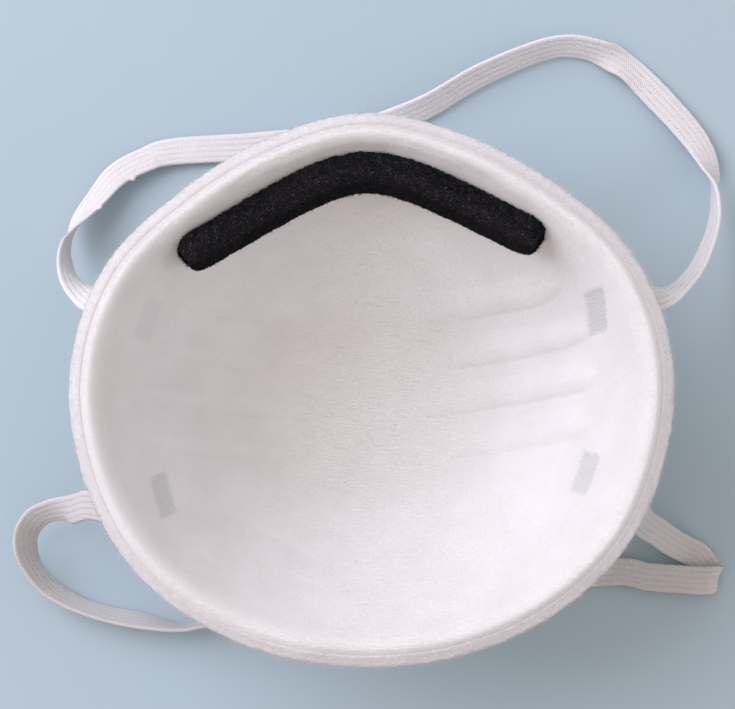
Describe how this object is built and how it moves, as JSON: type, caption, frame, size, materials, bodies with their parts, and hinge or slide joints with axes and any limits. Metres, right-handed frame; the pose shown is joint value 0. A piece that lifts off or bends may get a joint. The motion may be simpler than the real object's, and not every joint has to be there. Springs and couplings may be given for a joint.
{
  "type": "disposable respirator",
  "caption": "Moulded cup respirator with a ribbed felt lining, a black nose foam and elastic headbands, lying open side up.",
  "frame": {"origin": "centre of the cup's bounding box in plan, on the surface that the front panel rests on", "axes": "+Z out of the hollow, towards the wearer's face; +Y towards the nose foam; X across the cup"},
  "size_m": [0.1718, 0.1439, 0.05],
  "materials": {
    "shell_felt": "white moulded nonwoven, matt",
    "liner_felt": "white felted nonwoven, matt",
    "nose_foam": "black open-cell foam, matt",
    "elastic": "white braided elastic, matt"
  },
  "bodies": {
    "root": {"outer_shell": "shell_felt", "inner_liner": "liner_felt", "nose_foam": "nose_foam", "upper_headband": "elastic", "lower_headband": "elastic"}
  },
  "joints": []
}
